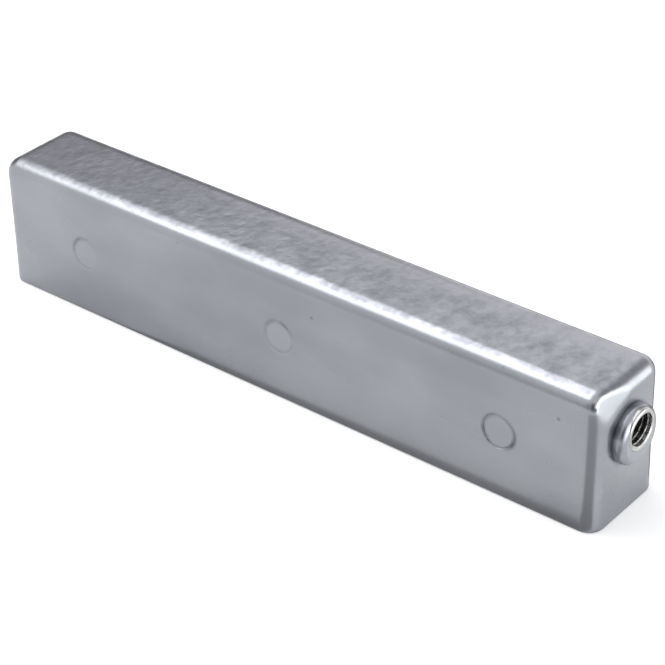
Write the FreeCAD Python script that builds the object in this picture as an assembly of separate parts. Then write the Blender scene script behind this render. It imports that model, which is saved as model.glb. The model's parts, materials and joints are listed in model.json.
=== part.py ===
import FreeCAD, Part
import math
import os

# A sacrificial anode: one solid bar of cast zinc alloy that is bolted up from both ends.
# It was cast in a metal mould that opens at its underside. The long sides and the ends lean in
# towards the top, every other edge is round, and the edges of the underside are nearly sharp.
# A threaded steel bush, turned from hexagon bar, is cast into each end. Its round nose stands
# out of a round cast collar, and its hexagon and grip groove hold it in the zinc.
# Three ejector pins of the mould left ring marks on one long side.
#
# Frame, in millimetres: the origin is under the middle of the bar, on the plane it rests on.
# +X runs along the bar, +Z is up, and the side with the ring marks faces -Y.

# Driving dimensions of the bar, measured at its foot
bar_length = 200.0
bar_width = 28.0
bar_height = 38.8
end_lean = 0.1
side_lean = 0.4
edge_radius = 4.5
foot_edge_radius = 0.6

# Driving dimensions of a bush. What stands out is measured from the end of the bar's foot.
bush_axis_height = 25.5
nose_radius = 5.7
nose_stand_out = 3.5
nose_rim = 0.3
hexagon_sides = 6
hexagon_width = 14.0
hexagon_cover = 2.5
hexagon_length = 24.0
corner_chamfer_length = 1.0
corner_chamfer_angle = 60.0
groove_width = 5.0
groove_floor_radius = 5.8

# Driving dimensions of the tapped hole: the wall is drilled at the minor diameter of the thread
tap_drill_radius = 4.25
mouth_chamfer = 0.3
drilled_depth = 22.0
drill_point_angle = 118.0

# Driving dimensions of the cast collar, whose axis lies a little below the bush's
collar_radius = 7.9
collar_drop = 2.0
collar_stand_out = 3.2
collar_rim_radius = 1.9

# Driving dimensions of the ring marks: a fine groove round a flush disc. The row of three sits
# a little nearer to the +X end.
mark_count = 3
mark_pitch = 70.0
mark_shift = 1.5
mark_height = 19.0
mark_radius = 4.9
mark_line_width = 0.5
mark_line_depth = 0.3

# Derived values
end_x = bar_length / 2.0
collar_axis_height = bush_axis_height - collar_drop
shoulder_x = end_x - hexagon_cover
bush_back_x = shoulder_x - hexagon_length
hexagon_corner_radius = hexagon_width / math.sqrt(3.0)
nose_face_x = end_x + nose_stand_out
side_lean_angle = math.atan2(side_lean, bar_height)

# How far a cutter, or a turned outline that leaves the hexagon bar alone, reaches past its work
cutter_reach = 1.0

ORIGIN = FreeCAD.Vector(0, 0, 0)
UP = FreeCAD.Vector(0, 0, 1)
ALONG = FreeCAD.Vector(1, 0, 0)


def stands_on_foot(edge):
    """True for an edge that lies in the plane of the underside."""
    return all(abs(vertex.Z) < 1e-6 for vertex in edge.Vertexes)


def turned_about_axis(profile, axis_height):
    """The solid swept by a closed profile of (x, radius) edges about an axis along X."""
    face = Part.Face(Part.Wire(profile))
    solid = face.revolve(ORIGIN, ALONG, 360)
    solid.translate(FreeCAD.Vector(0, 0, axis_height))
    return solid


def line(start, end):
    """A straight edge of a turned profile, between two (x, radius) points."""
    first = FreeCAD.Vector(start[0], 0, start[1])
    last = FreeCAD.Vector(end[0], 0, end[1])
    return Part.LineSegment(first, last).toShape()


def quarter_round(start, end, centre, radius):
    """A quarter circle of a turned profile that bulges away from its centre."""
    middle_x = centre[0] + radius * math.sqrt(0.5)
    middle_r = centre[1] + radius * math.sqrt(0.5)
    middle = FreeCAD.Vector(middle_x, 0, middle_r)
    arc = Part.Arc(FreeCAD.Vector(start[0], 0, start[1]), middle, FreeCAD.Vector(end[0], 0, end[1]))
    return arc.toShape()


def polyline(points):
    """The straight edges that join a list of (x, radius) points."""
    return [line(a, b) for a, b in zip(points, points[1:])]


def at_other_end(shape):
    """A copy of what sits at the +X end, turned half way round to the -X end."""
    copy = shape.copy()
    copy.rotate(ORIGIN, UP, 180)
    return copy


def cast_bar():
    """The bar with its leaning faces and its round edges, before anything is cast on or in.

    A wedge narrows along its own second axis, so it is made lying down and then stood up.
    """
    half_width = bar_width / 2.0
    top_half_width = half_width - side_lean
    top_end_x = end_x - end_lean
    low_corner = (-end_x, 0.0, -half_width, -top_half_width, -top_end_x)
    high_corner = (end_x, bar_height, half_width, top_half_width, top_end_x)
    bar = Part.makeWedge(*low_corner, *high_corner)
    bar.rotate(ORIGIN, ALONG, 90)
    round_edges = [edge for edge in bar.Edges if not stands_on_foot(edge)]
    bar = bar.makeFillet(edge_radius, round_edges)
    foot_edges = [edge for edge in bar.Edges if stands_on_foot(edge)]
    return bar.makeFillet(foot_edge_radius, foot_edges)


def collar():
    """The round collar cast on the +X end, with its rim rounded over."""
    face_x = end_x + collar_stand_out
    root_x = end_x - 2 * end_lean - foot_edge_radius
    rim_start = (face_x - collar_rim_radius, collar_radius)
    rim_end = (face_x, collar_radius - collar_rim_radius)
    rim_centre = (face_x - collar_rim_radius, collar_radius - collar_rim_radius)
    profile = [line((root_x, 0), (root_x, collar_radius)), line((root_x, collar_radius), rim_start)]
    profile.append(quarter_round(rim_start, rim_end, rim_centre, collar_rim_radius))
    profile.append(line(rim_end, (face_x, 0)))
    profile.append(line((face_x, 0), (root_x, 0)))
    return turned_about_axis(profile, collar_axis_height)


def hexagon_bar():
    """The hexagon bar that the bush at the +X end is turned from, with two flats upright."""
    corners = []
    step = 2.0 * math.pi / hexagon_sides
    for index in range(hexagon_sides + 1):
        angle = (index + 0.5) * step
        y = hexagon_corner_radius * math.cos(angle)
        z = bush_axis_height + hexagon_corner_radius * math.sin(angle)
        corners.append(FreeCAD.Vector(bush_back_x, y, z))
    section = Part.Face(Part.makePolygon(corners))
    return section.extrude(FreeCAD.Vector(nose_face_x - bush_back_x, 0, 0))


def bush_outside():
    """The outside of the bush: hexagon bar with its corners, grip groove and nose turned."""
    bar_radius = hexagon_corner_radius + cutter_reach
    corner_cut = corner_chamfer_length * math.tan(math.radians(corner_chamfer_angle))
    groove_centre = bush_back_x + hexagon_length / 2.0
    groove_back = groove_centre - groove_width / 2.0
    groove_front = groove_centre + groove_width / 2.0
    outline = [
        (bush_back_x, 0),
        (bush_back_x, bar_radius - corner_cut),
        (bush_back_x + corner_chamfer_length, bar_radius),
        (groove_back, bar_radius),
        (groove_back, groove_floor_radius),
        (groove_front, groove_floor_radius),
        (groove_front, bar_radius),
        (shoulder_x, bar_radius),
        (shoulder_x, nose_radius),
        (nose_face_x - nose_rim, nose_radius),
        (nose_face_x, nose_radius - nose_rim),
        (nose_face_x, 0),
        (bush_back_x, 0),
    ]
    return hexagon_bar().common(turned_about_axis(polyline(outline), bush_axis_height))


def tapped_hole():
    """The drilled hole: a small mouth chamfer, a straight wall and the drill's point."""
    floor_x = nose_face_x - drilled_depth
    point_x = floor_x - tap_drill_radius / math.tan(math.radians(drill_point_angle / 2.0))
    outline = [
        (point_x, 0),
        (floor_x, tap_drill_radius),
        (nose_face_x - mouth_chamfer, tap_drill_radius),
        (nose_face_x, tap_drill_radius + mouth_chamfer),
        (nose_face_x, 0),
        (point_x, 0),
    ]
    return turned_about_axis(polyline(outline), bush_axis_height)


def ring_marks():
    """Cutters for the ring marks, square to the leaning side that faces -Y."""
    inward = FreeCAD.Vector(0, math.cos(side_lean_angle), -math.sin(side_lean_angle))
    face_y = -bar_width / 2.0 + mark_height * math.tan(side_lean_angle)
    first_x = mark_shift - mark_pitch * (mark_count - 1) / 2.0
    length = cutter_reach + mark_line_depth
    rings = []
    for index in range(mark_count):
        on_face = FreeCAD.Vector(first_x + index * mark_pitch, face_y, mark_height)
        start = on_face - inward * cutter_reach
        outer = Part.makeCylinder(mark_radius, length, start, inward)
        inner = Part.makeCylinder(mark_radius - mark_line_width, length, start, inward)
        rings.append(outer.cut(inner))
    return Part.makeCompound(rings)


def anode_block():
    """The whole zinc casting, with a seat for each bush that is the bush's own outside."""
    seat = bush_outside()
    block = cast_bar().fuse([collar(), at_other_end(collar())])
    block = block.cut(Part.makeCompound([seat, at_other_end(seat)]))
    return block.cut(ring_marks()).removeSplitter()


def threaded_bush():
    """The steel bush at the +X end, with its tapped hole."""
    return bush_outside().cut(tapped_hole())


def one_solid(shape, name):
    """The single solid that a shape holds; anything else is a fault in the model."""
    if len(shape.Solids) != 1:
        raise ValueError("%s has %d solids" % (name, len(shape.Solids)))
    return shape.Solids[0]


near_end_bush = threaded_bush()
pieces = {
    "anode_block": anode_block(),
    "near_end_bush": near_end_bush,
    "far_end_bush": at_other_end(near_end_bush),
}

os.makedirs("parts", exist_ok=True)
for name, shape in pieces.items():
    solid = one_solid(shape, name)
    solid.exportStep("parts/%s.step" % name)
    box = solid.BoundBox
    lengths = (box.XLength, box.YLength, box.ZLength)
    print("%s: %.1f x %.1f x %.1f mm" % (name, *lengths))
    print("%s: %.3f cm3" % (name, solid.Volume / 1000))
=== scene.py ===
# %% [markdown]
# # A cast zinc anode with a threaded bush in each end
#
# A sacrificial anode is a block of zinc that is bolted to a boat's metal parts, so that the sea eats
# the zinc and not them. This one is a long bar with round edges. A round collar is cast on each end,
# and a threaded steel bush stands out of it.
#
# The construction model gives every size and place. This script builds the looks round it: the
# casting's uneven skin, the cut thread, the two metals, and a plain studio to see them in.

# %% Open the construction model
import json
import math

import bmesh
import bpy
from mathutils import Matrix, Vector, noise


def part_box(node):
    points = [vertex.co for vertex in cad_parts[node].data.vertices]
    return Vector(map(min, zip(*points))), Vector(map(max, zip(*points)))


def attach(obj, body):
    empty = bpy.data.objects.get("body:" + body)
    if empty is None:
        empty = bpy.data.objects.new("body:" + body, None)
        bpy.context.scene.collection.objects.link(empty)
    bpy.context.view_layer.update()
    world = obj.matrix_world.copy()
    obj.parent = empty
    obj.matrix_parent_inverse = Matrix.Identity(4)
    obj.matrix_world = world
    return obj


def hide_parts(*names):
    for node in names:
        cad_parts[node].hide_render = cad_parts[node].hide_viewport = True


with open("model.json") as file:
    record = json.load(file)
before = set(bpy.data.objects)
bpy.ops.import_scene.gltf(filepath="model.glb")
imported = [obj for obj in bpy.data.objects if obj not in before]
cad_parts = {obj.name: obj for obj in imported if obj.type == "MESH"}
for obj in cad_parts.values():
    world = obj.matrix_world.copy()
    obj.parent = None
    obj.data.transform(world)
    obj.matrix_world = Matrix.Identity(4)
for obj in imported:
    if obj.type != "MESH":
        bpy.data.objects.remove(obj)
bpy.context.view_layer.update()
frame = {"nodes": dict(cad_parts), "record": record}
MM = 0.001
print("nodes:", sorted(frame["nodes"]))

# %% [markdown]
# ## The camera
#
# A camera could be aimed by eye. Here its place, turn and lens come from fitting a box with round
# edges to the outline in the photograph, so a right shape lands on the outline by itself. It stands
# about three bar lengths away, and so the bar's far end looks a sixth smaller than its near end.

# %% Set the camera
CAMERA_PLACE = Vector((0.31799, -0.36952, 0.32652))
CAMERA_TURN = math.radians(39.96)
CAMERA_DIP = math.radians(32.78)
CAMERA_ROLL = math.radians(-1.54)
SENSOR_WIDTH = 36.0
LENS = 118.06
NEAREST_SEEN = 0.01

camera = bpy.data.objects.new("camera", bpy.data.cameras.new("camera"))
bpy.context.scene.collection.objects.link(camera)
camera.data.sensor_width = SENSOR_WIDTH
camera.data.lens = LENS
camera.data.clip_start = NEAREST_SEEN
aim = Matrix.Rotation(CAMERA_TURN, 4, "Z") @ Matrix.Rotation(math.pi / 2 - CAMERA_DIP, 4, "X")
camera.matrix_world = Matrix.Translation(CAMERA_PLACE) @ aim @ Matrix.Rotation(CAMERA_ROLL, 4, "Z")
bpy.context.scene.camera = camera
print("camera to middle of bar, in mm:", round(CAMERA_PLACE.length / MM))

# %% [markdown]
# ## Sizes
#
# The outer sizes are read from the construction model, and the others repeat its driving
# dimensions. The record's mount at the near end says how high the threaded hole lies and how wide it
# is bored.

# %% Read the sizes
block_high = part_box("anode_block")[1]
near_mount = [m for m in frame["record"]["mounts"] if m["name"] == "near_thread"][0]

COLLAR_STAND_OUT = 3.2 * MM
COLLAR_RADIUS = 7.9 * MM
COLLAR_DROP = 2.0 * MM
COLLAR_RIM = 1.9 * MM
END_LEAN = 0.1 * MM
SIDE_LEAN = 0.4 * MM
EDGE_RADIUS = 4.5 * MM
FOOT_RADIUS = 0.6 * MM

bar_end = block_high.x - COLLAR_STAND_OUT
bar_side = block_high.y
bar_top = block_high.z
bush_height = near_mount["pos_m"][2]
bore_radius = near_mount["dims"]["r_mm"] * MM
nose_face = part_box("near_end_bush")[1].x
print("bar in mm:", round(2 * bar_end / MM, 1), round(2 * bar_side / MM, 1), round(bar_top / MM, 1))
print("bore radius in mm:", bore_radius / MM)

# %% [markdown]
# ## The bar's skin
#
# The bar could be a box with a bevel, but its skin has to carry small dents, so it needs a fine even
# mesh. It is built like a stack of rings. Each ring is a rectangle with round corners, and the rings
# draw in over the top edge and, more tightly, at the foot. Their straight stretches keep the same
# points all the way up, so the last ring closes with a plain grid.

# %% Plan the rings
GRID = 0.75 * MM
WELD = GRID / 1000
ARC_STEPS = 9
FOOT_STEPS = 3
SIDE_STEP = 1.1 * MM


def arc_steps(count):
    """The angles that cut a quarter turn into equal steps, ends included."""
    return [math.pi / 2 * index / count for index in range(count + 1)]


def ring_levels():
    """The height of each ring and how far it draws in, from the foot to the top face."""
    levels = []
    for a in arc_steps(FOOT_STEPS):
        levels.append((FOOT_RADIUS * (1 - math.cos(a)), FOOT_RADIUS * (1 - math.sin(a))))
    side_top = bar_top - EDGE_RADIUS
    steps = round((side_top - FOOT_RADIUS) / SIDE_STEP)
    for index in range(1, steps):
        levels.append((FOOT_RADIUS + (side_top - FOOT_RADIUS) * index / steps, 0.0))
    for a in arc_steps(ARC_STEPS):
        levels.append((side_top + EDGE_RADIUS * math.sin(a), EDGE_RADIUS * (1 - math.cos(a))))
    return levels


along_count = round(2 * (bar_end - EDGE_RADIUS) / GRID)
across_count = round(2 * (bar_side - EDGE_RADIUS) / GRID)
print("rings:", len(ring_levels()), "points along:", along_count, "across:", across_count)

# %% [markdown]
# A ring's point has a place on the straight-sided rectangle inside it and a direction outwards. The
# place is scaled by the ring's size and the direction by its corner radius, so one plan serves every
# ring. The sides lean in by less than a millimetre, as a casting's must, to let it out of its mould.

# %% Place the points of a ring
def ring_plan():
    """One (place on the inner rectangle, direction outwards) for each point, anticlockwise."""
    plan = []
    for quarter, count in enumerate((along_count, across_count) * 2):
        turn = Matrix.Rotation(quarter * math.pi / 2, 2)
        corner = turn @ Vector((1, -1))
        for index in range(count + 1):
            plan.append((turn @ Vector((2 * index / count - 1, -1)), turn @ Vector((0, -1))))
        for a in arc_steps(ARC_STEPS)[1:-1]:
            plan.append((corner, turn @ Vector((math.sin(a), -math.cos(a)))))
    return plan


def half_sizes(height):
    """Half the length and width of the rectangle inside the round corners, at a height."""
    share = height / bar_top
    return bar_end - END_LEAN * share - EDGE_RADIUS, bar_side - SIDE_LEAN * share - EDGE_RADIUS


def ring_points(plan, height, draw_in):
    """The points of one ring."""
    half_x, half_y = half_sizes(height)
    corner = EDGE_RADIUS - draw_in
    return [(p.x * half_x + d.x * corner, p.y * half_y + d.y * corner, height) for p, d in plan]


print("points in a ring:", len(ring_plan()))

# %% [markdown]
# The rings are joined by quads. The top is a grid that shares the border of the last ring, and the
# underside, which has no dents, is one flat face. At the top the corner points of a ring fall
# together, and welding takes out the doubles.

# %% Build the plain bar
def top_grid(mesh):
    """The flat top inside the last ring."""
    half_x, half_y = half_sizes(bar_top)
    places_x = [half_x * (2 * i / along_count - 1) for i in range(along_count + 1)]
    places_y = [half_y * (2 * j / across_count - 1) for j in range(across_count + 1)]
    rows = [[mesh.verts.new((x, y, bar_top)) for x in places_x] for y in places_y]
    for low, high in zip(rows, rows[1:]):
        for i in range(along_count):
            mesh.faces.new((low[i], low[i + 1], high[i + 1], high[i]))


def skin_between(mesh, first, second):
    """Joins two rings with quads."""
    for i in range(len(first)):
        j = (i + 1) % len(first)
        mesh.faces.new((first[i], first[j], second[j], second[i]))


def plain_bar():
    """The bar with leaning sides and round edges, before any dents."""
    mesh = bmesh.new()
    plan = ring_plan()
    rings = [[mesh.verts.new(p) for p in ring_points(plan, *level)] for level in ring_levels()]
    for low, high in zip(rings, rings[1:]):
        skin_between(mesh, low, high)
    top_grid(mesh)
    mesh.faces.new(rings[0][::-1])
    bmesh.ops.remove_doubles(mesh, verts=mesh.verts, dist=WELD)
    mesh.normal_update()
    return mesh


bar_mesh = plain_bar()
print("bar faces:", len(bar_mesh.faces))

# %% [markdown]
# ## Dents and waves
#
# Molten zinc shrinks as it sets, so its flat faces sink a little and wave, and the rough top is
# covered with short shallow strokes. A bump map could fake this, but an edge seen against the light
# would stay straight, so the points themselves are moved, always inwards, and the bar keeps its outer
# size. Each kind of dent is a function that says how deep a point lies.

# %% Say how deep each point lies
SINK_DEPTH = 0.10 * MM
WAVE_DEPTH = 0.05 * MM
WAVE_LENGTH = 30 * MM
STROKE_DEPTH = 0.02 * MM
STROKE_ALONG = 1.7 * MM
STROKE_ACROSS = 2.4 * MM
FINER_STROKES = 2.1
FINER_SHARE = 0.3
# How far below the top the strokes start and are full, as shares of the edge radius
STROKES_START = 0.18
STROKES_FULL = 0.03
# How far from the middle of a bush the waves start and are full
WAVES_START = COLLAR_RADIUS + 2 * EDGE_RADIUS / 3
WAVES_FULL = 3 * COLLAR_RADIUS
# Which part of the endless noise is used
SEED_SHIFT = Vector((3.7, 1.9, 5.3))


def smooth_step(low, high, value):
    """0 below low, 1 above high, and a soft ramp between."""
    share = min(1.0, max(0.0, (value - low) / (high - low)))
    return share * share * (3 - 2 * share)


def top_share(point):
    """1 on the rough top face, fading out over its round edges."""
    start, full = bar_top - STROKES_START * EDGE_RADIUS, bar_top - STROKES_FULL * EDGE_RADIUS
    return smooth_step(start, full, point.z)


def stroke_depth(point):
    """The short shallow strokes of the top face, longer across the bar than along it."""
    place = Vector((point.x / STROKE_ALONG, point.y / STROKE_ACROSS, point.z / STROKE_ACROSS))
    coarse = noise.noise(place + SEED_SHIFT)
    fine = noise.noise(FINER_STROKES * place - SEED_SHIFT)
    return STROKE_DEPTH * (0.5 + 0.5 * coarse + FINER_SHARE * fine)


def wave_depth(point):
    """The slow waves that every cast face has. They die out round the collars."""
    from_bush = Vector((bar_end - abs(point.x), point.y, point.z - bush_height)).length
    share = smooth_step(WAVES_START, WAVES_FULL, from_bush)
    return share * WAVE_DEPTH * (0.5 + 0.5 * noise.noise(point / WAVE_LENGTH + SEED_SHIFT))


def sink_depth(point):
    """The hollow that a thick casting draws into the middle of its long sides."""
    middle = 1 - (2 * point.z / bar_top - 1) ** 2
    return SINK_DEPTH * middle * smooth_step(0.5 * bar_side, bar_side, abs(point.y))


half_way_up = Vector((0, -bar_side, bar_top / 2))
print("hollow of a long side half way up, in mm:", round(sink_depth(half_way_up) / MM, 2))

# %% [markdown]
# One corner, over the near bush, has been dressed flat, with a file or a hammer. The cut is a plane,
# given by a point on it near the end face and the way it faces, and what stands in front of it is
# pressed back onto it.

# %% Dent the bar
FLAT_POINT = Vector((99.9, -3.5, 33.6)) * MM
FLAT_FACING = Vector((0.953, -0.12, 0.28)).normalized()


def dress_corner(point):
    """Presses a point back onto the dressed flat, if it stands in front of it."""
    over = (point - FLAT_POINT).dot(FLAT_FACING)
    return point - FLAT_FACING * max(0.0, over)


def dent(mesh):
    """Moves each point of the skin inwards. The foot's edge stays where it is."""
    moves = []
    for vert in mesh.verts:
        held = smooth_step(0.0, 2 * FOOT_RADIUS, vert.co.z)
        cast = held * (wave_depth(vert.co) + sink_depth(vert.co))
        rough = top_share(vert.co) * stroke_depth(vert.co)
        moves.append(vert.normal * (cast + rough))
    for vert, move in zip(mesh.verts, moves):
        vert.co = dress_corner(vert.co - move)
    print("deepest dent in mm:", round(max(move.length for move in moves) / MM, 3))


def to_object(mesh, name):
    """Makes a Blender object of a bmesh and lets go of it."""
    data = bpy.data.meshes.new(name)
    mesh.to_mesh(data)
    mesh.free()
    made = bpy.data.objects.new(name, data)
    bpy.context.scene.collection.objects.link(made)
    return made


dent(bar_mesh)
casting = to_object(bar_mesh, "zinc_casting")

# %% [markdown]
# ## Turned shapes
#
# The collars and the noses of the bushes are round, so they are turned like work on a lathe: an
# outline of (place along the bar, radius) pairs goes once round an axis along the bar. A few helpers
# do it for all of them. An open ring is closed by a fan round one point on the axis.

# %% Turn an outline round an axis
TURN_STEPS = 96


def turned_ring(mesh, x, radius_at, height):
    """One ring of points round the axis. radius_at gives the radius at an angle."""
    ring = []
    for index in range(TURN_STEPS):
        a = 2 * math.pi * index / TURN_STEPS
        radius = radius_at(a)
        ring.append(mesh.verts.new((x, radius * math.cos(a), height + radius * math.sin(a))))
    return ring


def point_cap(mesh, ring, x, height):
    """Closes a ring with a fan round one point on the axis."""
    tip = mesh.verts.new((x, 0, height))
    for i in range(len(ring)):
        mesh.faces.new((ring[i], ring[(i + 1) % len(ring)], tip))


def turn_outline(mesh, outline, height):
    """Skins a list of (x, radius) pairs, and returns the first and the last ring."""
    rings = [turned_ring(mesh, x, lambda a, r=r: r, height) for x, r in outline]
    for first, second in zip(rings, rings[1:]):
        skin_between(mesh, first, second)
    return rings[0], rings[-1]


print("points in a turned ring:", TURN_STEPS)

# %% [markdown]
# ## The cast collar
#
# The collar is part of the casting. Its axis lies a little below the bush's, as if the two halves of
# the mould hadn't quite met. Its rim is round and large, and catches the light as a bright crescent.
# A few rows along its side, and one more ring just inside the rim, keep the shading of its side and
# its flat face even.

# %% Turn a collar
ROOT_SUNK = 1.0 * MM
# The rows of points along the collar's side, as shares of its length from the bar's end
COLLAR_ROWS = (-0.25, 0.25, 0.5, 0.75)
FLAT_MARGIN = 0.15 * MM
RIM_STEPS = 8


def rounded_rim(face, side, rim):
    """The quarter circle of a rim, from the end of the side to the flat face."""
    outline = []
    for a in arc_steps(RIM_STEPS):
        outline.append((face - rim * (1 - math.sin(a)), side - rim * (1 - math.cos(a))))
    return outline


def collar_outline():
    """From inside the bar, along the side and over the rim, to the collar's flat face."""
    face = block_high.x
    length = face - COLLAR_RIM - bar_end
    places = [-ROOT_SUNK] + [share * length for share in COLLAR_ROWS]
    outline = [(bar_end + place, COLLAR_RADIUS) for place in places]
    outline += rounded_rim(face, COLLAR_RADIUS, COLLAR_RIM)
    outline.append((face, COLLAR_RADIUS - COLLAR_RIM - FLAT_MARGIN))
    return outline


def collar_mesh():
    """A closed collar for the +X end."""
    mesh = bmesh.new()
    height = bush_height - COLLAR_DROP
    first, last = turn_outline(mesh, collar_outline(), height)
    point_cap(mesh, first[::-1], bar_end - ROOT_SUNK, height)
    point_cap(mesh, last, block_high.x, height)
    bmesh.ops.recalc_face_normals(mesh, faces=mesh.faces)
    return mesh


def add_both_ends(target, source):
    """Puts a +X end shape into target, as it is and turned half way round."""
    data = bpy.data.meshes.new("end_shape")
    source.to_mesh(data)
    source.free()
    target.from_mesh(data)
    data.transform(Matrix.Rotation(math.pi, 4, "Z"))
    target.from_mesh(data)
    bpy.data.meshes.remove(data)


both_collars = bmesh.new()
add_both_ends(both_collars, collar_mesh())
collars = to_object(both_collars, "collars")
print("collar points:", len(collars.data.vertices))

# %% [markdown]
# ## The bush
#
# The bush is turned from hexagon bar, and its hexagon and grip groove are buried in the zinc. They
# keep the construction model's own faces. Its nose shows, so it is turned again with more steps and a
# rounder rim. The hole and everything in front of the shoulder are taken off a copy of the model.
# What is left open is joined to the new nose by filling the flat shoulder between them.

# %% Take the nose off a copy of the construction model
NOSE_RADIUS = 5.7 * MM
NOSE_RIM = 0.7 * MM
SEAT_GAP = 0.03 * MM
HEXAGON_COVER = 2.5 * MM
MOUTH = 0.3 * MM
NEAR = 0.02 * MM
shoulder = bar_end - HEXAGON_COVER


def axis_distance(point):
    """How far a point is from the bush's axis."""
    return math.hypot(point.y, point.z - bush_height)


def is_cut_away(face):
    """True for a face of the hole, the nose or the shoulder."""
    in_hole = all(axis_distance(v.co) < bore_radius + MOUTH + NEAR for v in face.verts)
    in_front = all(v.co.x > shoulder - NEAR for v in face.verts)
    return in_hole or in_front


def buried_part():
    """The hexagon and the groove, open at the shoulder, and the edges of that opening."""
    mesh = bmesh.new()
    mesh.from_mesh(frame["nodes"]["near_end_bush"].data)
    bmesh.ops.remove_doubles(mesh, verts=mesh.verts, dist=NEAR / 10)
    bmesh.ops.delete(mesh, geom=[f for f in mesh.faces if is_cut_away(f)], context="FACES")
    return mesh, [e for e in mesh.edges if e.is_boundary]


print("new nose in mm, from the shoulder to its face:", round((nose_face - shoulder) / MM, 2))

# %% [markdown]
# The outside of the bush is needed twice: for the bush itself, and closed with a plain cap to cut its
# seat into the zinc. So one function makes it and gives back the ring at the front of the nose. The
# seat's nose is a hair wider, which leaves the fine dark line that shows round an insert.

# %% Turn the nose
def nose_outline(gap):
    """From the shoulder, along the nose and over its rounded rim."""
    side = NOSE_RADIUS + gap
    return [(shoulder, side)] + rounded_rim(nose_face, side, NOSE_RIM)


def ring_edges(mesh, ring):
    """The edges between the neighbours of a ring."""
    return [mesh.edges.get((ring[i], ring[(i + 1) % len(ring)])) for i in range(len(ring))]


def bush_outside(gap=0.0):
    """The bush's whole outside, with its nose face still open."""
    mesh, opening = buried_part()
    first, last = turn_outline(mesh, nose_outline(gap), bush_height)
    bmesh.ops.triangle_fill(mesh, edges=opening + ring_edges(mesh, first), use_beauty=True)
    return mesh, last


seat_mesh, seat_rim = bush_outside(SEAT_GAP)
point_cap(seat_mesh, seat_rim, nose_face, bush_height)
bmesh.ops.recalc_face_normals(seat_mesh, faces=seat_mesh.faces)
print("open edges of the seat cutter:", len([e for e in seat_mesh.edges if e.is_boundary]))

# %% [markdown]
# ## The thread
#
# A thread could be cut with a long helical tool, but that is slow and leaves slivers. The wall of the
# hole is a grid of rings instead, and each point's radius follows the thread's form: how far it is
# round the axis plus how deep it lies says whether it is on a crest, on a flank or in the root. The
# form is the metric one, with sides at 60 degrees and flats on crest and root. The thread is cut
# to 18 mm and fades out over its last turn, as a tap leaves it.

# %% Work out the thread's form
PITCH = 1.5 * MM
THREAD_HEIGHT = 0.72 * MM
TAPPED_DEPTH = 18 * MM
DRILLED_DEPTH = 22 * MM
HALF_DRILL_POINT = math.radians(59)
ROOT_FLAT = 0.125
CREST_FLAT = 0.25
ROWS_PER_TURN = 12


def thread_form(depth, angle):
    """0 on a crest, 1 in the root, for a right-hand thread."""
    phase = (depth / PITCH + angle / (2 * math.pi)) % 1.0
    from_root = abs(2 * phase - 1)
    slope = (1 - CREST_FLAT - from_root) / (1 - CREST_FLAT - ROOT_FLAT)
    return min(1.0, max(0.0, slope)) * (1 - smooth_step(TAPPED_DEPTH - PITCH, TAPPED_DEPTH, depth))


def wall_radius(depth, angle):
    """The radius of the tapped hole at a depth and an angle, with the bevel at its mouth."""
    tapped = bore_radius + THREAD_HEIGHT * thread_form(depth, angle)
    return max(tapped, bore_radius + MOUTH - depth)


print("thread's root radius in mm:", round((bore_radius + THREAD_HEIGHT) / MM, 2))

# %% [markdown]
# The first ring of the wall lies in the nose's flat face, so joining it to the nose's rim makes that
# face. Under the thread the hole keeps the drill's size, down to the cone that the drill's point
# left. Each bush is built on its own, and the far one is turned half way round.

# %% Build a threaded bush
def threaded_bush():
    """The +X bush: outside, nose face, tapped wall and drill point."""
    mesh, rim = bush_outside()
    rows = round(TAPPED_DEPTH / PITCH * ROWS_PER_TURN)
    for row in range(rows + 1):
        depth = TAPPED_DEPTH * row / rows
        ring = turned_ring(mesh, nose_face - depth, lambda a, d=depth: wall_radius(d, a), bush_height)
        skin_between(mesh, rim, ring)
        rim = ring
    floor_x = nose_face - DRILLED_DEPTH
    last = turned_ring(mesh, floor_x, lambda a: bore_radius, bush_height)
    skin_between(mesh, rim, last)
    point_cap(mesh, last, floor_x - bore_radius / math.tan(HALF_DRILL_POINT), bush_height)
    bmesh.ops.recalc_face_normals(mesh, faces=mesh.faces)
    print("bush faces:", len(mesh.faces), "open edges:", len([e for e in mesh.edges if e.is_boundary]))
    return mesh


near_bush = to_object(threaded_bush(), "near_threaded_bush")
far_bush = to_object(threaded_bush(), "far_threaded_bush")
far_bush.data.transform(Matrix.Rotation(math.pi, 4, "Z"))

# %% [markdown]
# ## Ring marks
#
# Three ejector pins pushed the casting out of its mould, and each left a shallow ring on the front.
# The cutter for a ring is a torus. A thin one, sunk half way in, would leave a narrow half-round
# groove. A thick one that only just dips in leaves a wide soft one, as here, and if it leans, the
# groove runs out on one side, as it does at a pin that stood askew.

# %% Make the ring cutters
MARK_PITCH = 70 * MM
MARK_SHIFT = 1.5 * MM
MARK_HEIGHT = 19 * MM
MARK_RADIUS = 4.65 * MM
MARK_CENTRES = [Vector((MARK_SHIFT + step * MARK_PITCH, 0, MARK_HEIGHT)) for step in (-1, 0, 1)]
# For each ring: the radius of the torus's tube, how deep it dips in and how much it leans, in mm
MARK_TUBES = [(0.9, 0.04, 0.06), (0.9, 0.07, 0.03), (0.45, 0.16, 0.02)]
TUBE_STEPS = 24
LEANS_TOWARDS = 0.75 * math.pi


def front_skin(x, height):
    """The point of the dented front side at a place along the bar and a height."""
    share = height / bar_top
    flat = Vector((x, -bar_side + SIDE_LEAN * share, height))
    return flat + Vector((0, wave_depth(flat) + sink_depth(flat), 0))


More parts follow.
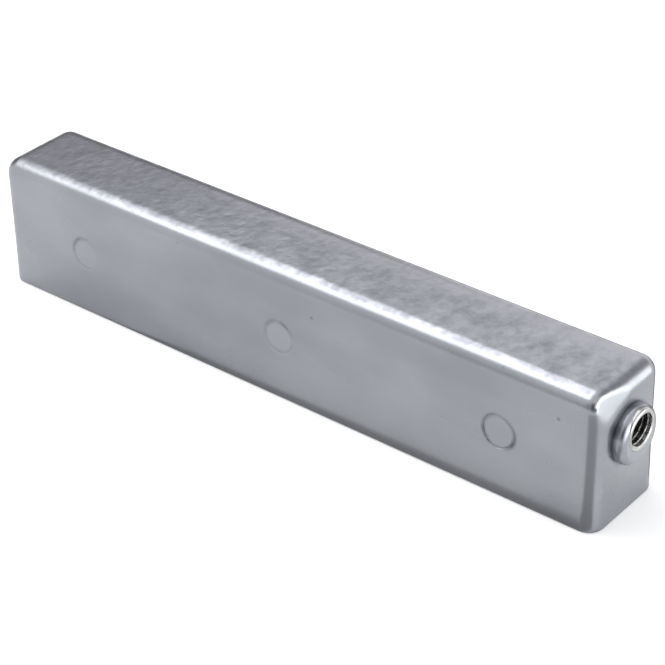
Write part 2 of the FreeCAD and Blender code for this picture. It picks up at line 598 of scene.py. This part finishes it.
def ring_cutter(mesh, centre, tube, depth, lean):
    """A torus that dips into the front side by depth, and by more towards its upper left."""
    rings = []
    for index in range(TURN_STEPS):
        a = 2 * math.pi * index / TURN_STEPS
        dip = depth - tube + lean * math.cos(a - LEANS_TOWARDS)
        ring = []
        for step in range(TUBE_STEPS):
            b = 2 * math.pi * step / TUBE_STEPS
            radius = MARK_RADIUS + tube * math.cos(b)
            offset = Vector((radius * math.cos(a), dip + tube * math.sin(b), radius * math.sin(a)))
            ring.append(mesh.verts.new(centre + offset))
        rings.append(ring)
    for first, second in zip(rings, rings[1:] + rings[:1]):
        skin_between(mesh, first, second)


cutters = bmesh.new()
for centre, sizes in zip(MARK_CENTRES, MARK_TUBES):
    ring_cutter(cutters, front_skin(centre.x, centre.z), *[size * MM for size in sizes])
print("ring cutters:", len(MARK_TUBES), "faces:", len(cutters.faces))

# %% [markdown]
# The small pits, where gas sat against the mould, are cut by flattened balls. Balls, rings and the
# two seats go into one mesh, because one cut with all of them is quicker than many small ones.

# %% Add the pits and the seats
# Each pit's place along the bar, its height and its radius, in mm
PITS = [(88.5, 29.9, 0.5), (71.6, 37.2, 0.4), (57.1, 36.0, 0.3), (12.9, 29.1, 0.5), (-33.0, 35.2, 0.4)]
PITS += [(-91.2, 15.3, 0.3)]
PIT_FLATNESS = 0.25

for pit_x, pit_height, pit_radius in PITS:
    place = Matrix.Translation(front_skin(pit_x * MM, pit_height * MM))
    flat_ball = place @ Matrix.Diagonal((1.0, PIT_FLATNESS, 1.0, 1.0))
    bmesh.ops.create_icosphere(cutters, subdivisions=3, radius=pit_radius * MM, matrix=flat_ball)
bmesh.ops.recalc_face_normals(cutters, faces=cutters.faces)
add_both_ends(cutters, seat_mesh)
cutter = to_object(cutters, "cutter")
print("cutter faces:", len(cutter.data.polygons))

# %% [markdown]
# ## Cutting and joining
#
# A real casting is one skin, so the collars are joined to the bar, and the seats, rings and pits are
# cut out of it, with exact booleans. Joining leaves hair-thin slivers where a collar meets the bar,
# and they would shade badly, so points that nearly touch are welded before the cut.
#
# Then edges sharper than a limit are kept sharp, and everything else is shaded smooth. The buried
# part of a bush still carries normals from the construction model, and those are dropped first.

# %% Join the casting
SHARP_ANGLE = math.radians(35)
SLIVER = 0.03 * MM


def combine(target, operation, tool):
    """Joins or cuts with an exact boolean, for good, and deletes the tool."""
    boolean = target.modifiers.new(operation.lower(), "BOOLEAN")
    boolean.operation = operation
    boolean.solver = "EXACT"
    boolean.object = tool
    depsgraph = bpy.context.evaluated_depsgraph_get()
    made = bpy.data.meshes.new_from_object(target.evaluated_get(depsgraph))
    target.modifiers.clear()
    target.data = made
    bpy.data.objects.remove(tool)


def clean_up(target):
    """Closes the hair-thin slivers that a boolean leaves."""
    mesh = bmesh.new()
    mesh.from_mesh(target.data)
    bmesh.ops.remove_doubles(mesh, verts=mesh.verts, dist=SLIVER)
    bmesh.ops.dissolve_degenerate(mesh, edges=mesh.edges, dist=SLIVER)
    mesh.to_mesh(target.data)
    mesh.free()


def shade(piece):
    """Smooth shading with the sharp edges kept, and no normals left from the construction model."""
    stored = piece.data.attributes.get("custom_normal")
    if stored:
        piece.data.attributes.remove(stored)
    piece.data.shade_smooth()
    piece.data.set_sharp_from_angle(angle=SHARP_ANGLE)


combine(casting, "UNION", collars)
clean_up(casting)
combine(casting, "DIFFERENCE", cutter)
for piece in (casting, near_bush, far_bush):
    shade(piece)
print("casting faces:", len(casting.data.polygons))

# %% [markdown]
# ## Shared effects
#
# Both metals have a fine grain and soft cloudy patches, only at different scales, and the zinc has
# several round marks. Each effect is a node group, built once. A group gives out only values, and
# each material decides what they do. A few helpers keep the wiring of nodes short: an input is given
# by its name, or by its number after a low line, and takes a value or another node's output.

# %% Helpers for nodes
def add_node(tree, kind, settings=None, **inputs):
    """Adds a node, sets its properties, and fills its inputs with values or links."""
    made = tree.nodes.new(kind)
    for name, value in (settings or {}).items():
        setattr(made, name, value)
    for name, value in inputs.items():
        socket = made.inputs[int(name[1:])] if name[0] == "_" else made.inputs[name.replace("_", " ")]
        if isinstance(value, bpy.types.NodeSocket):
            tree.links.new(value, socket)
        else:
            socket.default_value = value
    return made


def math_node(tree, operation, first, second=0.0, clamp=False):
    """One sum, product or other calculation, held between 0 and 1 if it is clamped."""
    settings = {"operation": operation, "use_clamp": clamp}
    return add_node(tree, "ShaderNodeMath", settings, _0=first, _1=second).outputs[0]


def vector_node(tree, operation, first, second=(0, 0, 0)):
    """The outputs of one calculation with vectors: Vector, and Value for a length or a product."""
    settings = {"operation": operation}
    return add_node(tree, "ShaderNodeVectorMath", settings, _0=first, _1=second).outputs


def ramp(tree, value, low, high, full=1.0):
    """0 where the value is low, full where it is high, and a straight ramp between."""
    limits = {"From_Min": low, "From_Max": high, "To_Max": full}
    return add_node(tree, "ShaderNodeMapRange", Value=value, **limits).outputs[0]


print("node groups before any is built:", len(bpy.data.node_groups))

# %% [markdown]
# The patches and the grain are both noise. They read the object's own coordinates in metres, times a
# stretch, so that a scale is a count of patches per metre. From and To are the two levels of the
# noise that become 0 and 1, so the nearer they are, the sharper the patches.

# %% Build the noise groups
def new_group(name, inputs, outputs):
    """An empty node group with named inputs (with start values) and named outputs."""
    group = bpy.data.node_groups.new(name, "ShaderNodeTree")
    for socket_name, kind, start in inputs:
        socket = group.interface.new_socket(socket_name, in_out="INPUT", socket_type=kind)
        socket.default_value = start
    for socket_name in outputs:
        group.interface.new_socket(socket_name, in_out="OUTPUT", socket_type="NodeSocketFloat")
    return group, group.nodes.new("NodeGroupInput"), group.nodes.new("NodeGroupOutput")


def use_group(tree, group, **inputs):
    """Places a group in a material with that material's own values, and gives its outputs."""
    return add_node(tree, "ShaderNodeGroup", {"node_tree": group}, **inputs).outputs


def noise_group(name, detail):
    """A group that gives out noise from 0 to 1, stretched and sharpened."""
    inputs = [("Stretch", "NodeSocketVector", (1, 1, 1)), ("Scale", "NodeSocketFloat", 100.0)]
    inputs += [("From", "NodeSocketFloat", 0.3), ("To", "NodeSocketFloat", 0.7)]
    group, given, out = new_group(name, inputs, ["Mask"])
    place = add_node(group, "ShaderNodeTexCoord").outputs["Object"]
    stretched = vector_node(group, "MULTIPLY", place, given.outputs["Stretch"])["Vector"]
    settings = {"Vector": stretched, "Scale": given.outputs["Scale"], "Detail": detail}
    cloud = add_node(group, "ShaderNodeTexNoise", **settings).outputs["Fac"]
    mask = ramp(group, cloud, given.outputs["From"], given.outputs["To"])
    group.links.new(mask, out.inputs["Mask"])
    return group


cloudy_patches = noise_group("cloudy patches", detail=3.0)
fine_grain = noise_group("fine grain", detail=6.0)
print("noise groups:", [g.name for g in bpy.data.node_groups])

# %% [markdown]
# A ring mark gets painted shade along its line, and painted light on the disc inside it. The third
# group measures how far a point of the front side is from the mark's Centre, against its Radius. The
# Ring it gives out is 1 on the line and 0 one Width away from it, and the Disc is 0 on the line and 1
# one Width inside. The painted shade lies unevenly, as the light falls: Even is its share all round,
# Lean adds some on the side that Towards points to and takes some away on the other, and Fold adds
# some on both.

# %% Build the ring mark group
def ring_group():
    """A group that gives out a ring and the disc inside it, on the front side only."""
    inputs = [("Centre", "NodeSocketVector", (0, 0, 0)), ("Towards", "NodeSocketVector", (0, 0, 1))]
    inputs += [("Radius", "NodeSocketFloat", 0.005), ("Width", "NodeSocketFloat", 0.0005)]
    inputs += [("Even", "NodeSocketFloat", 1.0), ("Lean", "NodeSocketFloat", 0.0)]
    inputs += [("Fold", "NodeSocketFloat", 0.0)]
    group, given, out = new_group("ring mark", inputs, ["Ring", "Disc"])
    place = add_node(group, "ShaderNodeTexCoord").outputs["Object"]
    in_plane = vector_node(group, "MULTIPLY", place, (1, 0, 1))["Vector"]
    offset = vector_node(group, "SUBTRACT", in_plane, given.outputs["Centre"])["Vector"]
    away = vector_node(group, "LENGTH", offset)["Value"]
    outside = math_node(group, "SUBTRACT", away, given.outputs["Radius"])
    widths = math_node(group, "DIVIDE", outside, given.outputs["Width"])
    ring = math_node(group, "SUBTRACT", 1.0, math_node(group, "ABSOLUTE", widths), clamp=True)
    disc = math_node(group, "MULTIPLY", widths, -1.0, clamp=True)
    way = vector_node(group, "NORMALIZE", offset)["Vector"]
    turn = vector_node(group, "DOT_PRODUCT", way, given.outputs["Towards"])["Value"]
    leaning = math_node(group, "MULTIPLY", turn, given.outputs["Lean"])
    folded = math_node(group, "MULTIPLY", math_node(group, "MULTIPLY", turn, turn), given.outputs["Fold"])
    uneven = math_node(group, "ADD", leaning, folded)
    strength = math_node(group, "ADD", uneven, given.outputs["Even"], clamp=True)
    depth = add_node(group, "ShaderNodeSeparateXYZ", Vector=place).outputs["Y"]
    in_front = math_node(group, "LESS_THAN", depth, 0.0)
    ring = math_node(group, "MULTIPLY", ring, strength)
    group.links.new(math_node(group, "MULTIPLY", ring, in_front), out.inputs["Ring"])
    group.links.new(math_node(group, "MULTIPLY", disc, in_front), out.inputs["Disc"])
    return group


ring_mark = ring_group()
print("groups:", [g.name for g in bpy.data.node_groups])

# %% [markdown]
# ## Cast zinc
#
# Bare zinc is a bluish grey metal. The sides that cooled against smooth steel are satin, with faint
# paler clouds. The top is rougher and darker, partly by painted shade, with pale flecks, and it
# reaches a little way over the round edges. Painted shade darkens the corners, the ring marks and the
# pits. All of it is one metal shader, and masks say where one colour or roughness gives way to the
# next.

# %% Choose the zinc's colours
ZINC_SIDE = (0.35, 0.365, 0.392, 1)
ZINC_LIGHT = (0.43, 0.445, 0.472, 1)
# The top's darker colour is partly its own rougher skin and partly painted shade for the dimmer sky it
# mirrors
ZINC_TOP = (0.285, 0.295, 0.326, 1)
ZINC_FLECK = (0.50, 0.51, 0.555, 1)
# The painted light on the back of the top
ZINC_PAINTED_LIGHT = (0.50, 0.505, 0.54, 1)
# The colour of the painted shade in the corners, the ring marks and the pits
ZINC_PAINTED_SHADE = (0.06, 0.062, 0.065, 1)


def mix_colour(tree, share, first, second):
    """A blend of two colours."""
    mixed = add_node(tree, "ShaderNodeMix", {"data_type": "RGBA"}, _0=share, _6=first, _7=second)
    return mixed.outputs[2]


def mix_value(tree, share, first, second):
    """A blend of two numbers."""
    return add_node(tree, "ShaderNodeMix", {"data_type": "FLOAT"}, _0=share, _2=first, _3=second).outputs[0]


def new_material(name):
    """A material with an empty node tree, its metal shader and the tree."""
    material = bpy.data.materials.new(name)
    material.use_nodes = True
    tree = material.node_tree
    return material, tree.nodes["Principled BSDF"], tree


print("the top's red as a share of the sides':", round(ZINC_TOP[0] / ZINC_SIDE[0], 2))

# %% [markdown]
# The groove of a ring mark is too shallow to look dark by itself. Painted shade does that, and it
# lies differently in each: at the upper left of the far one, over the top of the middle one, and on
# two opposite sides of the near one. Patches of noise break it up. A pit is a small disc of painted
# shade.

# %% Mark the sides
# For each ring mark: how strong its painted shade is, how much painted light its disc gets,
# and how the shade is spread
RING_SHADE = (0.5, 0.45, 0.85)
DISC_PAINTED_LIGHT = (0.3, 0.7, 0.1)
RING_SPREAD = [
    {"Towards": (-0.7, 0, 0.7), "Even": 0.2, "Lean": 0.8},
    {"Towards": (0.2, 0, 0.98), "Even": 0.45, "Lean": 0.55},
    {"Towards": (0.97, 0, -0.2), "Even": 0.15, "Fold": 0.85},
]
RING_LINE = 1.0 * MM
RING_SHADE_PATCHES = {"Scale": 220.0, "From": 0.3, "To": 0.6}
PIT_SHADE = 0.4
PIT_SPREAD = 1.2
PIT_FADE = 0.5 * MM


def marked_colour(tree, plain):
    """The side's colour with painted shade in the marks and pits, and painted light on the discs inside the
    marks.
    """
    colour = plain
    uneven = use_group(tree, cloudy_patches, **RING_SHADE_PATCHES)["Mask"]
    for centre, ring_shade_strength, disc_light, spread in zip(MARK_CENTRES, RING_SHADE, DISC_PAINTED_LIGHT, RING_SPREAD):
        mark = use_group(tree, ring_mark, Centre=centre, Radius=MARK_RADIUS, Width=RING_LINE, **spread)
        # painted light on the disc inside the ring
        colour = mix_colour(tree, math_node(tree, "MULTIPLY", mark["Disc"], disc_light), colour, ZINC_LIGHT)
        # painted shade along the ring's line
        ring_shade = math_node(tree, "MULTIPLY", math_node(tree, "MULTIPLY", mark["Ring"], uneven), ring_shade_strength)
        colour = mix_colour(tree, ring_shade, colour, ZINC_PAINTED_SHADE)
    for x, height, radius in PITS:
        sizes = {"Radius": PIT_SPREAD * radius * MM, "Width": PIT_FADE}
        # painted shade in the pit
        pit = use_group(tree, ring_mark, Centre=Vector((x, 0, height)) * MM, **sizes)["Disc"]
        colour = mix_colour(tree, math_node(tree, "MULTIPLY", pit, PIT_SHADE), colour, ZINC_PAINTED_SHADE)
    return colour


print("marks with dirt:", len(RING_SPREAD), "pits:", len(PITS))

# %% [markdown]
# A mask made of the height above the foot says where the top is, with a little grain in it for a
# ragged border. The back half of the top gets painted light, paler on its flecks, except at its left
# end. The corners get painted shade: the ambient occlusion node measures how closed in a point is.

# %% Find the top, its painted light and the painted shade in the corners
# How far below the top its mask starts and is full, as shares of the edge radius
TOP_START = 0.19
TOP_FULL = 0.09
RAGGED_EDGE = {"Stretch": (0.35, 1, 1), "Scale": 700.0, "From": 0.3, "To": 0.7}
RAGGED_HEIGHT = 0.5 * MM
# Where the painted light on the top starts and is full, across and along the bar, and its least and
# greatest share
TOP_LIGHT_ACROSS = (2 * MM, 8 * MM)
TOP_LIGHT_ALONG = (-55 * MM, -10 * MM)
TOP_LIGHT_SHARES = (0.5, 0.9)
# How far the painted shade in the corners reaches, where it starts and is full, and how dark it gets
SHADE_REACH = 1.8 * MM
SHADE_START = 0.2
SHADE_FULL = 0.6
SHADE_STRENGTH = 0.75


def top_mask(tree, height):
    """1 on the top, 0 on the sides, with a ragged border on the round edges."""
    grain = math_node(tree, "SUBTRACT", use_group(tree, fine_grain, **RAGGED_EDGE)["Mask"], 0.5)
    raised = math_node(tree, "ADD", height, math_node(tree, "MULTIPLY", grain, RAGGED_HEIGHT))
    return ramp(tree, raised, bar_top - TOP_START * EDGE_RADIUS, bar_top - TOP_FULL * EDGE_RADIUS)


def painted_top_light(tree, along, across, mottle):
    """Painted light on the back of the top, stronger on its flecks."""
    band = math_node(tree, "MULTIPLY", ramp(tree, across, *TOP_LIGHT_ACROSS), ramp(tree, along, *TOP_LIGHT_ALONG))
    return math_node(tree, "MULTIPLY", band, mix_value(tree, mottle, *TOP_LIGHT_SHARES))


def corner_painted_shade(tree):
    """A mask of painted shade, strong in inner corners and grooves, where less light reaches."""
    settings = {"samples": 8, "only_local": True}
    open_share = add_node(tree, "ShaderNodeAmbientOcclusion", settings, Distance=SHADE_REACH).outputs["AO"]
    hidden = math_node(tree, "SUBTRACT", 1.0, open_share)
    return ramp(tree, hidden, SHADE_START, SHADE_FULL, SHADE_STRENGTH)


print("top's mask starts at a height in mm of", round((bar_top - TOP_START * EDGE_RADIUS) / MM, 2))

# %% [markdown]
# Now the zinc itself. Fine and wide patches together make the mottle of the top. It decides the
# colour and the roughness, and a fine grain, strong on the top and faint on the sides, gives a small
# relief that breaks up the reflections.

# %% Make the zinc
SIDE_CLOUDS = {"Stretch": (0.5, 1, 1), "Scale": 40.0, "From": 0.35, "To": 0.65}
FINE_MOTTLE = {"Stretch": (1, 0.8, 1), "Scale": 450.0, "From": 0.38, "To": 0.62}
WIDE_MOTTLE = {"Stretch": (1, 0.8, 1), "Scale": 170.0, "From": 0.35, "To": 0.65}
TOP_GRAIN = {"Stretch": (1, 0.8, 1), "Scale": 500.0, "From": 0.2, "To": 0.8}
SIDE_ROUGHNESS = (0.31, 0.25)
TOP_ROUGHNESS = (0.35, 0.28)
RELIEF_HEIGHT = 0.25 * MM
SIDE_RELIEF = 0.04
TOP_RELIEF = 0.18


def zinc_material():
    """Satin bluish grey zinc with a rough, flecked top."""
    material, metal, tree = new_material("cast zinc")
    place = add_node(tree, "ShaderNodeTexCoord").outputs["Object"]
    along, across, height = add_node(tree, "ShaderNodeSeparateXYZ", Vector=place).outputs
    top = top_mask(tree, height)
    clouds = use_group(tree, cloudy_patches, **SIDE_CLOUDS)["Mask"]
    fine_mottle = use_group(tree, cloudy_patches, **FINE_MOTTLE)["Mask"]
    wide_mottle = use_group(tree, cloudy_patches, **WIDE_MOTTLE)["Mask"]
    mottle = mix_value(tree, 0.5, fine_mottle, wide_mottle)
    side_colour = marked_colour(tree, mix_colour(tree, clouds, ZINC_SIDE, ZINC_LIGHT))
    flecked = mix_colour(tree, mottle, ZINC_TOP, ZINC_FLECK)
    # painted light on the back of the top, stronger on its flecks
    top_colour = mix_colour(tree, painted_top_light(tree, along, across, mottle), flecked, ZINC_PAINTED_LIGHT)
    unshaded = mix_colour(tree, top, side_colour, top_colour)
    # painted shade in the inner corners and grooves
    tree.links.new(mix_colour(tree, corner_painted_shade(tree), unshaded, ZINC_PAINTED_SHADE), metal.inputs["Base Color"])
    side_rough = mix_value(tree, clouds, *SIDE_ROUGHNESS)
    top_rough = mix_value(tree, mottle, *TOP_ROUGHNESS)
    tree.links.new(mix_value(tree, top, side_rough, top_rough), metal.inputs["Roughness"])
    metal.inputs["Metallic"].default_value = 1.0
    grain = use_group(tree, fine_grain, **TOP_GRAIN)["Mask"]
    relief = math_node(tree, "MULTIPLY", grain, mix_value(tree, top, SIDE_RELIEF, TOP_RELIEF))
    bump = add_node(tree, "ShaderNodeBump", Height=relief, Distance=RELIEF_HEIGHT, Strength=1.0)
    tree.links.new(bump.outputs[0], metal.inputs["Normal"])
    return material


zinc = zinc_material()
casting.data.materials.clear()
casting.data.materials.append(zinc)
print("zinc nodes:", len(zinc.node_tree.nodes))

# %% [markdown]
# ## Plated steel
#
# The bush is steel, turned and plated, so it is brighter and smoother than the zinc. Turning leaves
# very fine rings round the axis. On the nose's face they follow the distance from the axis, and on
# its side the place along it, so a sine of the two added together does for both. Painted shade makes
# the hole darker over its first two millimetres.

# %% Make the steel
STEEL_COLOUR = (0.64, 0.64, 0.63, 1)
STEEL_DULL = (0.46, 0.46, 0.455, 1)
# The painted shade inside the hole
STEEL_PAINTED_SHADE = (0.15, 0.15, 0.15, 1)
STEEL_PATCHES = {"Scale": 260.0, "From": 0.35, "To": 0.75}
STEEL_GRAIN = {"Scale": 2500.0, "From": 0.3, "To": 0.7}
STEEL_ROUGHNESS = (0.2, 0.32)
RINGS_PER_METRE = 4000.0
RING_HEIGHT = 0.01 * MM
RING_STRENGTH = 0.3
DARK_START = 0.4 * MM
DARK_FULL = 2 * MM


def steel_material():
    """Bright plated steel with turning rings."""
    material, metal, tree = new_material("plated steel")
    place = add_node(tree, "ShaderNodeTexCoord").outputs["Object"]
    along, across, height = add_node(tree, "ShaderNodeSeparateXYZ", Vector=place).outputs
    up = math_node(tree, "SUBTRACT", height, bush_height)
    off_axis = add_node(tree, "ShaderNodeCombineXYZ", X=across, Y=up).outputs[0]
    run = math_node(tree, "ADD", along, vector_node(tree, "LENGTH", off_axis)["Value"])
    rings = math_node(tree, "SINE", math_node(tree, "MULTIPLY", run, RINGS_PER_METRE * 2 * math.pi))
    patches = use_group(tree, cloudy_patches, **STEEL_PATCHES)["Mask"]
    plain = mix_colour(tree, patches, STEEL_COLOUR, STEEL_DULL)
    from_middle = math_node(tree, "ABSOLUTE", along)
    deep = ramp(tree, from_middle, nose_face - DARK_START, nose_face - DARK_FULL)
    # painted shade, darker deeper in the hole
    tree.links.new(mix_colour(tree, deep, plain, STEEL_PAINTED_SHADE), metal.inputs["Base Color"])
    grain = use_group(tree, fine_grain, **STEEL_GRAIN)["Mask"]
    tree.links.new(mix_value(tree, grain, *STEEL_ROUGHNESS), metal.inputs["Roughness"])
    metal.inputs["Metallic"].default_value = 1.0
    bump = add_node(tree, "ShaderNodeBump", Height=rings, Distance=RING_HEIGHT, Strength=RING_STRENGTH)
    tree.links.new(bump.outputs[0], metal.inputs["Normal"])
    return material


steel = steel_material()
for bush in (near_bush, far_bush):
    bush.data.materials.clear()
    bush.data.materials.append(steel)
print("steel nodes:", len(steel.node_tree.nodes))

# %% [markdown]
# ## Attach the pieces to one body
#
# Nothing moves on an anode, so all pieces ride on the one body. Each stands for one node of the
# construction model, and that node is hidden.

# %% Attach the pieces and hide the nodes
for piece, node, finish in (
    (casting, "anode_block", "cast_zinc"),
    (near_bush, "near_end_bush", "plated_steel"),
    (far_bush, "far_end_bush", "plated_steel"),
):
    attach(piece, "root")
    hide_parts(node)

# %% [markdown]
# ## The studio
#
# Metal shows what is round it, so a studio for metal is built from the things that it mirrors: a
# floor, a window, a few cards and the sky. The floor is white paper. It could be made white by more
# light, but that would burn out the metal, so it glows a little instead, for the camera and for
# mirrored and transmitted rays only, and it still keeps the shadow. It lies a hair under the bar.

# %% Lay the floor
FLOOR_SIDE = 6.0
FLOOR_GAP = 0.05 * MM
FLOOR_COLOUR = (0.82, 0.82, 0.82, 1)
FLOOR_GLOW = 0.36


def floor_material():
    """White paper that keeps the object's shadow."""
    material, paper, tree = new_material("floor paper")
    paper.inputs["Base Color"].default_value = FLOOR_COLOUR
    paper.inputs["Roughness"].default_value = 1.0
    paper.inputs["Specular IOR Level"].default_value = 0.0
    rays = add_node(tree, "ShaderNodeLightPath").outputs
    mirrored = math_node(tree, "MAXIMUM", rays["Is Glossy Ray"], rays["Is Transmission Ray"])
    seen = math_node(tree, "MAXIMUM", rays["Is Camera Ray"], mirrored)
    paper.inputs["Emission Color"].default_value = (1, 1, 1, 1)
    tree.links.new(math_node(tree, "MULTIPLY", seen, FLOOR_GLOW), paper.inputs["Emission Strength"])
    return material


floor_mesh = bmesh.new()
bmesh.ops.create_grid(floor_mesh, x_segments=1, y_segments=1, size=FLOOR_SIDE / 2)
floor = to_object(floor_mesh, "floor")
floor.location.z = -FLOOR_GAP
floor.data.materials.append(floor_material())
print("floor's side in metres:", FLOOR_SIDE)

# %% [markdown]
# One wide window up to the left lights the bar and draws the bright line along its upper front edge.
# Its two parts are lamps of their own, because the part on the camera's side is brighter. A third
# lamp in the same place isn't mirrored, so it lights the floor and leaves the metal alone.

# %% Hang the lamps
WINDOW_X = -0.55
WINDOW_Z = 1.06
WINDOW_HEIGHT = 0.72
AIM_Z = 0.02


def soft_lamp(name, y, width, radiance, mirrored=True):
    """A rectangular lamp in the window's plane. Its power follows from its size and radiance."""
    lamp = bpy.data.lights.new(name, "AREA")
    lamp.shape = "RECTANGLE"
    lamp.size = width
    lamp.size_y = WINDOW_HEIGHT
    lamp.energy = radiance * math.pi * width * WINDOW_HEIGHT
    hung = bpy.data.objects.new(name, lamp)
    hung.location = (WINDOW_X, y, WINDOW_Z)
    hung.rotation_euler = Vector((-WINDOW_X, 0, AIM_Z - WINDOW_Z)).to_track_quat("-Z", "Y").to_euler()
    hung.visible_camera = False
    hung.visible_glossy = mirrored
    bpy.context.scene.collection.objects.link(hung)
    print(name, "power in watts:", round(lamp.energy, 2))


soft_lamp("key lamp", y=-0.375, width=0.55, radiance=2.7)
soft_lamp("side lamp", y=0.375, width=0.95, radiance=1.85)
soft_lamp("floor lamp", y=0.0, width=1.2, radiance=1.0, mirrored=False)

# %% [markdown]
# Only reflections show the cards. The bright one stands off the near end and the dark one beside the
# camera, so the round edges there turn from pale to dark, and the back card darkens what the top
# mirrors. The others lie on the floor. The paper card keeps the floor's glow out of the metal. The
# front card is a painted shadow of the bar on the floor, and gives the long side its grey. The end and
# nose cards brighten the near end, and the rear card darkens the back.

# %% Stand and lay the cards
PAPER_CORNERS = [(-600, -700), (800, -700), (800, 500), (-600, 500)]
FRONT_SHADOW_CORNERS = [(-98, -14), (-55, -14.6), (-30, -16.5), (94, -18), (97, -82), (173, -57), (101, -14)]
END_CORNERS = [(100.2, -13), (118, -28), (126, 40), (100.2, 20)]
NOSE_CORNERS = [(119, 14), (137, 20), (137, 40), (121, 36)]
REAR_CORNERS = [(100, 16), (140, 350), (-320, 350), (-100, 16)]
CARD_ROUGHNESS = 0.9


def card(name, mesh, grey, glow):
    """A flat sheet that only reflections show. Its paint is grey, or glows like a window."""
    made = to_object(mesh, name)
    made.visible_camera = False
    made.visible_diffuse = False
    made.visible_shadow = False
    paint, shader, tree = new_material(name + " paint")
    shader.inputs["Base Color"].default_value = (grey, grey, grey, 1)
    shader.inputs["Roughness"].default_value = CARD_ROUGHNESS
    shader.inputs["Emission Color"].default_value = (1, 1, 1, 1)
    shader.inputs["Emission Strength"].default_value = glow
    made.data.materials.append(paint)
    return made


def upright_card(name, place, turn, width, height, grey, glow=0.0):
    """A card that stands upright, with its middle at a place, turned by degrees from facing -Y."""
    mesh = bmesh.new()
    bmesh.ops.create_grid(mesh, x_segments=1, y_segments=1, size=0.5)
    made = card(name, mesh, grey, glow)
    made.scale = (width, height, 1)
    made.location = place
    made.rotation_euler = (math.pi / 2, 0, math.radians(turn))


def lying_card(name, corners, grey, glow=0.0, lift=0.1):
    """A card that lies on the floor, with its corners and its lift given in millimetres."""
    mesh = bmesh.new()
    mesh.faces.new([mesh.verts.new((x * MM, y * MM, lift * MM)) for x, y in corners])
    card(name, mesh, grey, glow)


upright_card("bright card", (0.25, 0.044, 0.063), turn=-90, width=0.27, height=0.126, grey=0.8, glow=2.4)
upright_card("dark card", (0.405, -0.59, 0.35), turn=28, width=0.34, height=0.70, grey=0.03)
upright_card("back card", (-0.816, 0.888, 0.32), turn=217, width=0.46, height=0.44, grey=0.05)
lying_card("paper card", PAPER_CORNERS, grey=FLOOR_COLOUR[0], lift=0.05)
# a grey sheet that paints the bar's shadow on the floor, seen only in reflections
lying_card("front card", FRONT_SHADOW_CORNERS, grey=0.40)
lying_card("end card", END_CORNERS, grey=0.8, glow=0.16)
lying_card("nose card", NOSE_CORNERS, grey=0.8, glow=0.4, lift=0.15)
lying_card("rear card", REAR_CORNERS, grey=0.15)

# %% [markdown]
# The sky is white at the horizon and a little greyer overhead, and three patches of it are dim, for
# the darker tones that metal has next to its highlights: one low in front, one on the left and one
# high behind.

# %% Paint the sky
SKY_HORIZON = (1.0, 1.0, 1.0, 1)
SKY_TOP = (0.86, 0.86, 0.88, 1)
# The rise of the view, as its upright share, at which the sky starts and ends to turn grey
SKY_TURNS = (0.15, 0.7)
# For each dim patch: the way to its middle, how near to it the patch starts and is full, as cosines
# of the angle between, and its colour
DIM_PATCHES = [
    ((0.13, -0.99, 0.0), 0.70, 0.85, (0.42, 0.42, 0.43, 1)),
    ((-0.85, 0.31, 0.42), 0.80, 0.95, (0.16, 0.16, 0.17, 1)),
    ((0.31, 0.67, 0.67), 0.90, 0.97, (0.35, 0.35, 0.36, 1)),
]

world = bpy.data.worlds.new("studio")
bpy.context.scene.world = world
world.use_nodes = True
sky_tree = world.node_tree
direction = add_node(sky_tree, "ShaderNodeTexCoord").outputs["Generated"]
rise = add_node(sky_tree, "ShaderNodeSeparateXYZ", Vector=direction).outputs["Z"]
sky = mix_colour(sky_tree, ramp(sky_tree, rise, *SKY_TURNS), SKY_HORIZON, SKY_TOP)
for middle, start, full, colour in DIM_PATCHES:
    near = vector_node(sky_tree, "DOT_PRODUCT", direction, middle)["Value"]
    sky = mix_colour(sky_tree, ramp(sky_tree, near, start, full), sky, colour)
sky_tree.links.new(sky, sky_tree.nodes["Background"].inputs["Color"])
print("sky nodes:", len(sky_tree.nodes))

# %% [markdown]
# ## Finish
#
# The colours go to the picture as they are, with no film look.

# %% Finish
bpy.context.scene.view_settings.view_transform = "Standard"
